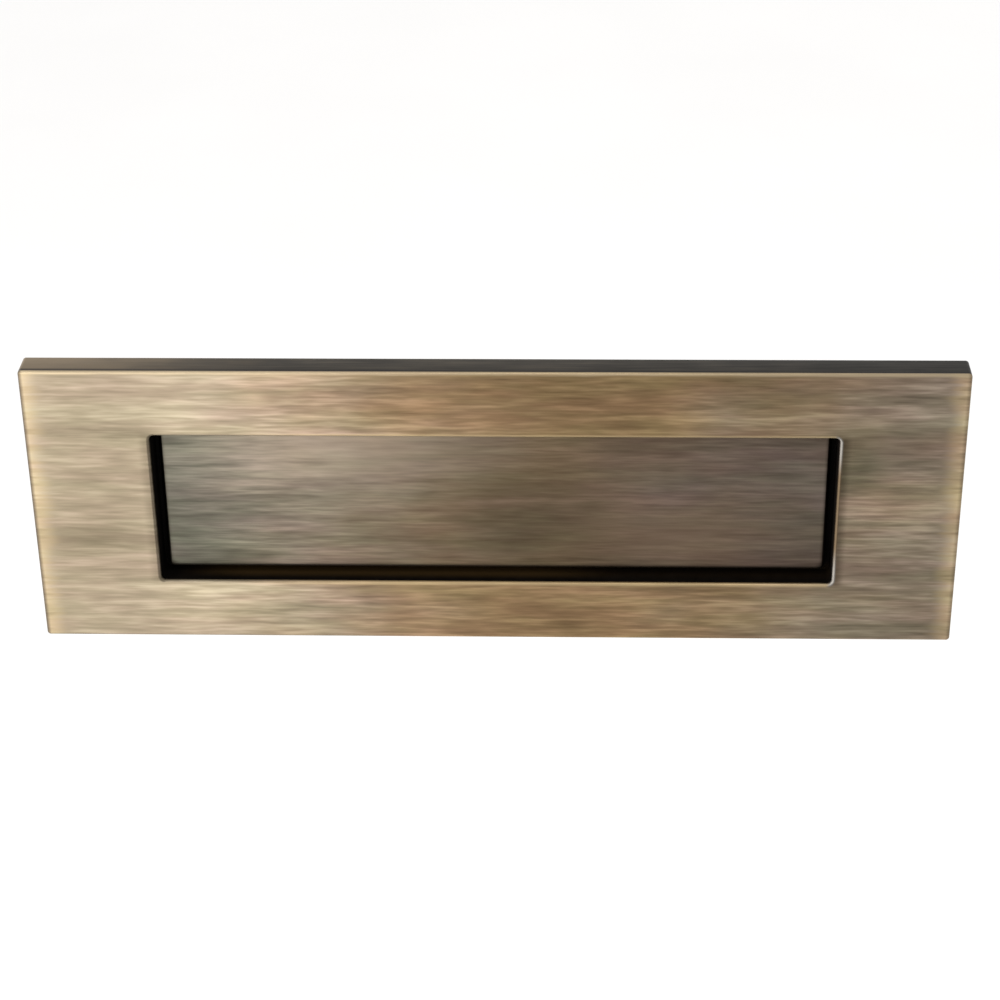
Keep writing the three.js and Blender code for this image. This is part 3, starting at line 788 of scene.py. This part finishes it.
def flap_cuts():
    """Bores for the bushes and the rod through the knuckles, and pockets for the buffers."""
    pocket_radius, start = 1.4 * MM, FLANGE_FRONT - MM
    cuts = []
    for side in (-1, 1):
        for middle, radius in ((END_KNUCKLE, BUSH_BORE), (INNER_KNUCKLE, INNER_BORE)):
            low, high = side * middle - KNUCKLE_HALF - MM, side * middle + KNUCKLE_HALF + MM
            cuts.append(bore_x(radius, low, high))
        low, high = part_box(f"{'left' if side < 0 else 'right'}_flap_buffer")
        centre, end = (low + high) / 2, high.y + 0.1 * MM
        pocket = [(0, start), (pocket_radius, start), (pocket_radius, end), (0, end)]
        cuts.append(lathe("pocket", pocket, (centre.x, 0, centre.z), "Y", 24))
    return cuts


def sort_flap_face(face):
    """0 brushed pad, 1 sides and flange front, 2 cast back."""
    if face.center.y < PAD_FRONT + PAD_EDGE * 0.8 and face.normal.y < -0.1:
        return 0
    before_flange = face.center.y < FLANGE_FRONT + 0.01 * MM and face.normal.y < 0.1
    return 1 if before_flange and not inner_wall(face) else 2


def inner_wall(face):
    """Whether a face lies inside the dish behind the pad."""
    reach = PAD_HALF - PAD_WALL + 0.1 * MM
    return abs(face.center.x) < reach and PAD_LOW + MM < face.center.z < PAD_HIGH - MM and (
        face.center.y > PAD_FRONT + PAD_WALL - 0.1 * MM)


def flap_piece():
    """The cast flap, its pad brushed and the rest left dark or rough."""
    mesh = combine(flap_dish(), flap_extras())
    mesh = combine(mesh, flap_cuts(), "DIFFERENCE")
    merge_doubles(mesh)
    return place("flap", mesh, [flap_brass, recess_black, cast_brass], sort_flap_face)


def turned_x(node, profile, material):
    """A piece turned about the hinge line."""
    return place(node, lathe(node, profile, (0, HINGE.y, HINGE.z), "X"), [material])


def pivot_rod():
    """The rod, with eased ends and a groove for each clip."""
    _, rod_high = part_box("pivot_rod")
    clip_low, clip_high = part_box("right_retaining_clip")
    end, groove_low, groove_high = rod_high.x, clip_low.x - 0.05 * MM, clip_high.x + 0.05 * MM
    half = [(ROD_RADIUS, groove_low), (ROD_GROOVE, groove_low), (ROD_GROOVE, groove_high),
            (ROD_RADIUS, groove_high), (ROD_RADIUS, end - 0.5 * MM),
            (ROD_RADIUS - 0.15 * MM, end - 0.2 * MM), (ROD_RADIUS - 0.5 * MM, end), (0, end)]
    mirrored = [(r, -x) for r, x in reversed(half)]
    return turned_x("pivot_rod", mirrored + half, zinc)


def flap_bush(name, side):
    """A nylon bush, its flange outside the end knuckle."""
    low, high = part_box(name)
    tail, outer = sorted((abs(low.x), abs(high.x)))
    chamfer = 0.2 * MM
    flange = (high.z - low.z) / 2
    shoulder = outer - MM
    profile = [(ROD_BORE, tail), (BUSH_RADIUS - chamfer, tail), (BUSH_RADIUS, tail + chamfer),
               (BUSH_RADIUS, shoulder), (flange - chamfer, shoulder), (flange, shoulder + chamfer),
               (flange, outer - chamfer), (flange - chamfer, outer), (ROD_BORE + chamfer, outer),
               (ROD_BORE, outer - chamfer)]
    return turned_x(name, [(r, side * x) for r, x in profile], nylon)


def spring_path(side):
    """The wire's line: a leg from the plate, the coil round the rod and a leg down the flap's back."""
    leg_up, legs_down, per_turn = 9 * MM, (2 * MM, 10 * MM, 23.7 * MM, 24 * MM), 28
    tip = Vector((side * SPRING_OUTER, FACE_BACK + (WIRE + 0.1 * MM), HINGE.z + leg_up))
    across, up = tip.y - HINGE.y, tip.z - HINGE.z
    start = math.atan2(up, across) + math.acos(COIL / math.hypot(across, up))
    end = math.pi + TURNS * 2 * math.pi
    steps = TURNS * per_turn
    path = [tip]
    coil = []
    for i in range(steps + 1):
        share = i / steps
        angle = start + share * (end - start)
        x = side * (SPRING_OUTER + share * (SPRING_INNER - SPRING_OUTER))
        coil.append(Vector((x, HINGE.y + COIL * math.cos(angle), HINGE.z + COIL * math.sin(angle))))
    path += [tip.lerp(coil[0], share) for share in (0.03, 0.5, 0.9)]
    path += coil
    last = coil[-1]
    path += [last - Vector((0, 0, down)) for down in legs_down]
    return path


def torsion_spring(name, side):
    """A spring that twists between the plate's end of its coil and the flap's."""
    piece = place(name, sweep(name, spring_path(side), WIRE, 14), [spring_wire], smooth=60)
    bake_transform(piece)
    return piece


def retaining_clip(name):
    """An open ring with three teeth that sit in the rod's groove."""
    low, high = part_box(name)
    outer, inner, lip = 4.5 * MM, 3.1 * MM, 0.12 * MM
    tooth_half, tooth_tip, tooth_root = 0.9 * MM, 2.1 * MM, 3.5 * MM
    tooth_low, tooth_high = low.x + 0.01 * MM, high.x - 0.01 * MM
    mouth_half = 2.1 * MM
    ring = lathe(name, [(inner, low.x), (outer - lip, low.x), (outer, low.x + lip), (outer, high.x - lip),
                        (outer - lip, high.x), (inner, high.x)], (0, HINGE.y, HINGE.z), "X", 64)
    teeth = []
    for degrees in (20, 90, 160):
        tooth = block((tooth_low, -tooth_half, tooth_tip), (tooth_high, tooth_half, tooth_root))
        turn = Matrix.Translation((0, HINGE.y, HINGE.z)) @ Matrix.Rotation(math.radians(degrees - 90), 4, "X")
        tooth.transform(turn)
        teeth.append(tooth)
    mesh = combine(ring, teeth)
    mouth = block((low.x - MM, HINGE.y - mouth_half, HINGE.z - 6 * MM),
                  (high.x + MM, HINGE.y + mouth_half, HINGE.z - MM))
    return place(name, combine(mesh, [mouth], "DIFFERENCE"), [spring_wire])


def flap_buffer(name):
    """A rubber button with a rounded nose."""
    low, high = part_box(name)
    centre = (low + high) / 2
    radius, soft = (high.x - low.x) / 2, 0.3 * MM
    nose = arc((radius - soft, low.y + soft), soft, -90, 0, 5)
    profile = [(0, low.y), *nose, (radius, high.y), (0, high.y)]
    return place(name, lathe(name, profile, (centre.x, 0, centre.z), "Y", 32), [rubber])


def fixing_stud(name):
    """An M5 stud with its real thread, cut as one helical ridge."""
    low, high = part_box(name)
    x = (low.x + high.x) / 2
    pitch, depth, core = 0.8 * MM, 0.45 * MM, 1.6 * MM
    sides, per_turn = 28, 8
    chamfer = 0.6 * MM
    rows = int((high.y - low.y) / pitch * per_turn)
    rings = []
    for row in range(rows + 1):
        y = low.y + (high.y - low.y) * row / rows
        taper = max(0.0, chamfer - min(y - low.y, high.y - y))
        ring = []
        for i in range(sides):
            turn = (y / pitch - i / sides) % 1.0
            cut = depth * min(1.0, max(0.0, 1.25 - abs(turn - 0.5) * 2.8))
            radius = max(min(STUD_RADIUS - cut, STUD_RADIUS - taper), core)
            angle = 2 * math.pi * i / sides
            ring.append(Vector((x + radius * math.cos(angle), y, radius * math.sin(angle))))
        rings.append(ring)
    mesh = loft(name, rings)
    merge_doubles(mesh)
    return place(name, mesh, [zinc], smooth=50)


def nut_blank(name, x, low, high):
    """A hexagon 8 mm across its flats whose end corners are coned off."""
    corner, cone = 2 * NUT_FLAT / math.sqrt(3), 0.35 * MM
    prism = [(0, low), (corner, low), (corner, high), (0, high)]
    outside = corner + 0.02 * MM
    taper = [(0, low), (NUT_FLAT, low), (outside, low + cone), (outside, high - cone),
             (NUT_FLAT, high), (0, high)]
    hexagon = lathe(name, prism, (x, 0, 0), "Y", 6)
    return combine(hexagon, [lathe("cone", taper, (x, 0, 0), "Y", 72)], "INTERSECT")


def jam_nut(name):
    """A thin nut whose hole is countersunk at both ends."""
    low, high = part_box(name)
    x = (low.x + high.x) / 2
    blank = nut_blank(name, x, low.y, high.y)
    mouth, sink = 3.9 * MM, 0.35 * MM
    hole = [(0, low.y - MM), (mouth, low.y - MM), (STUD_HOLE, low.y + sink), (STUD_HOLE, high.y - sink),
            (mouth, high.y + MM), (0, high.y + MM)]
    return place(name, combine(blank, [lathe("hole", hole, (x, 0, 0))], "DIFFERENCE"), [zinc])


def washer(name):
    """A flat washer with eased edges."""
    low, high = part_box(name)
    outer, edge = (high.x - low.x) / 2, 0.15 * MM
    profile = [(WASHER_HOLE, low.y), (outer - edge, low.y), (outer, low.y + edge), (outer, high.y - edge),
               (outer - edge, high.y), (WASHER_HOLE + edge, high.y), (WASHER_HOLE, high.y - edge)]
    return place(name, lathe(name, profile, ((low.x + high.x) / 2, 0, 0), "Y", 64), [zinc])


def spring_washer(name):
    """A split ring whose ends stand a little apart."""
    low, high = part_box(name)
    x, outer = (low.x + high.x) / 2, 4.6 * MM
    lead, edge, steps = 0.25 * MM, 0.12 * MM, 60
    first_degrees, sweep_degrees = 97, 346
    thickness = high.y - low.y - lead
    rings = []
    for i in range(steps + 1):
        share = i / steps
        angle = math.radians(first_degrees + share * sweep_degrees)
        y = low.y + lead * share
        section = [(WASHER_HOLE, y), (outer - edge, y), (outer, y + edge), (outer, y + thickness - edge),
                   (outer - edge, y + thickness), (WASHER_HOLE, y + thickness)]
        rings.append([Vector((x + r * math.cos(angle), along, r * math.sin(angle))) for r, along in section])
    mesh = loft(name, rings)
    merge_doubles(mesh)
    return place(name, mesh, [spring_wire])


def dome_nut(name):
    """A nut with a domed end and a hole that stops inside it."""
    low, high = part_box(name)
    x = (low.x + high.x) / 2
    shoulder, radius = low.y + 4 * MM, 3.75 * MM
    dome = [(0, shoulder - MM), (radius, shoulder - MM)]
    dome += [(r, y) for r, y in arc((0, high.y - radius), radius, 0, 90, 14)]
    dome[-1] = (0, high.y)
    body = combine(nut_blank(name, x, low.y, shoulder), [lathe("dome", dome, (x, 0, 0), "Y", 72)])
    mouth, bottom = 4 * MM, low.y + 7.5 * MM
    hole = [(0, low.y - MM), (mouth, low.y - MM), (STUD_HOLE, low.y + 0.4 * MM), (STUD_HOLE, bottom),
            (0, bottom)]
    return place(name, combine(body, [lathe("hole", hole, (x, 0, 0))], "DIFFERENCE"), [nut_brass])


def ride(piece, node):
    """Fixes a piece to its node's body."""
    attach(piece, body_of[node])


ride(face_plate(), "face_plate")
ride(flap_piece(), "flap")
ride(pivot_rod(), "pivot_rod")
for side_name, side in (("left", -1), ("right", 1)):
    torsion_spring(f"{side_name}_torsion_spring", side)
    ride(flap_bush(f"{side_name}_flap_bush", side), f"{side_name}_flap_bush")
    for make, what in ((retaining_clip, "retaining_clip"), (flap_buffer, "flap_buffer"),
                       (fixing_stud, "fixing_stud"), (jam_nut, "jam_nut"), (washer, "washer"),
                       (spring_washer, "spring_washer"), (dome_nut, "dome_nut")):
        node = f"{side_name}_{what}"
        ride(make(node), node)

# ---- Floor, light and camera ----


def pale_floor():
    """A wide pale floor, faintly mottled, well below the plate."""
    size, height = 30.0, plate_low.z - 1.3
    mesh = make_mesh("floor", [(-size, -size, height), (size, -size, height), (size, size, height),
                               (-size, size, height)], [(0, 1, 2, 3)])
    look = Material("pale_floor", Roughness=0.9, Specular_IOR_Level=0.1)
    mottle = look.noise(look.stretch(2, 2, 2), detail=2.0)
    colour = look.ramp(mottle, (0.3, (0.94, 0.94, 0.94, 1)), (0.7, (0.96, 0.96, 0.96, 1)))
    look.feed(look.shader.inputs["Base Color"], colour)
    mesh.materials.append(look.material)
    floor = bpy.data.objects.new("floor", mesh)
    bpy.context.scene.collection.objects.link(floor)


def softbox(name, place_at, aim, width, height, radiance, colour=(1, 1, 1)):
    """A soft area light that the camera doesn't see; radiance is what its face shows, in white's units."""
    light = bpy.data.lights.new(name, "AREA")
    light.shape = "RECTANGLE"
    light.size, light.size_y = width, height
    light.energy = radiance * math.pi * width * height
    light.color = colour
    lamp = bpy.data.objects.new(name, light)
    lamp.location = place_at
    lamp.rotation_euler = (Vector(aim) - Vector(place_at)).to_track_quat("-Z", "Y").to_euler()
    lamp.visible_camera = False
    bpy.context.scene.collection.objects.link(lamp)


def soft_world(strength):
    """Even, very slightly warm white light from all round."""
    world = bpy.data.worlds.new("studio")
    world.use_nodes = True
    background = world.node_tree.nodes["Background"]
    background.inputs["Color"].default_value = (1.0, 0.99, 0.98, 1)
    background.inputs["Strength"].default_value = strength
    bpy.context.scene.world = world


def view_camera():
    """A camera that looks down on the plate's face from a little right of the middle."""
    azimuth, elevation, roll = math.radians(2.11), math.radians(29.55), math.radians(-0.75)
    aim, distance = Vector((2.0 * MM, FRONT, 3.5 * MM)), 0.83
    back = Vector((math.sin(azimuth) * math.cos(elevation), -math.cos(azimuth) * math.cos(elevation),
                   math.sin(elevation)))
    data = bpy.data.cameras.new("camera")
    data.sensor_width = 36.0
    data.lens = 91.2
    camera = bpy.data.objects.new("camera", data)
    camera.location = aim + back * distance
    camera.rotation_mode = "QUATERNION"
    camera.rotation_quaternion = (-back).to_track_quat("-Z", "Y") @ Quaternion((0, 0, 1), roll)
    bpy.context.scene.collection.objects.link(camera)
    bpy.context.scene.camera = camera


pale_floor()
soft_world(1.03)
softbox("left_wall", (-0.575, -0.49, -0.4), (0, 0, -0.4), 1.28, 1.6, 2.6, (1.0, 0.985, 0.955))
softbox("top_front", (-0.3, -1.0, 1.6), (0, 0, 0), 1.2, 0.8, 2.0)
softbox("back_left", (-1.5, 1.6, 1.2), (0, 0, 0), 1.2, 1.2, 2.0)
view_camera()
bpy.context.scene.view_settings.view_transform = "Standard"
